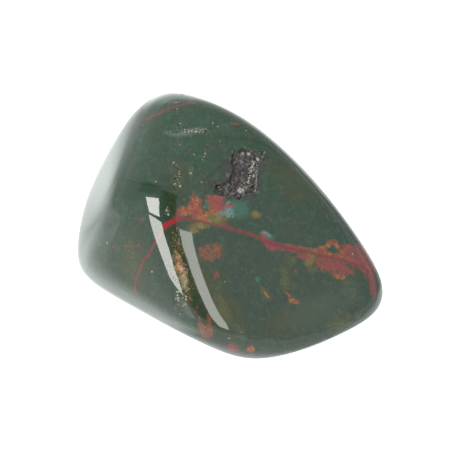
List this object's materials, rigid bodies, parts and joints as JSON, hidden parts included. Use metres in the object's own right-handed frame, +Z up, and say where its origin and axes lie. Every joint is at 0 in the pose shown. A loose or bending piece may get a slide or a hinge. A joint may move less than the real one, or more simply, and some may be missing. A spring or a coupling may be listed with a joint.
{
  "type": "tumbled bloodstone",
  "caption": "Tumbled and polished pebble of dark green bloodstone with a red vein, a pocket of small crystals and a pitted seam. It lies loose on its flattest side.",
  "frame": {"origin": "on the surface the pebble lies on, under the middle of its bounding box", "axes": "+X along the longest extent, +Z up from the flat side it rests on, +Y away from the front"},
  "size_m": [0.034, 0.0328, 0.0207],
  "materials": {
    "stone": "tumble polished"
  },
  "bodies": {
    "root": {"bloodstone": "stone"}
  },
  "joints": []
}
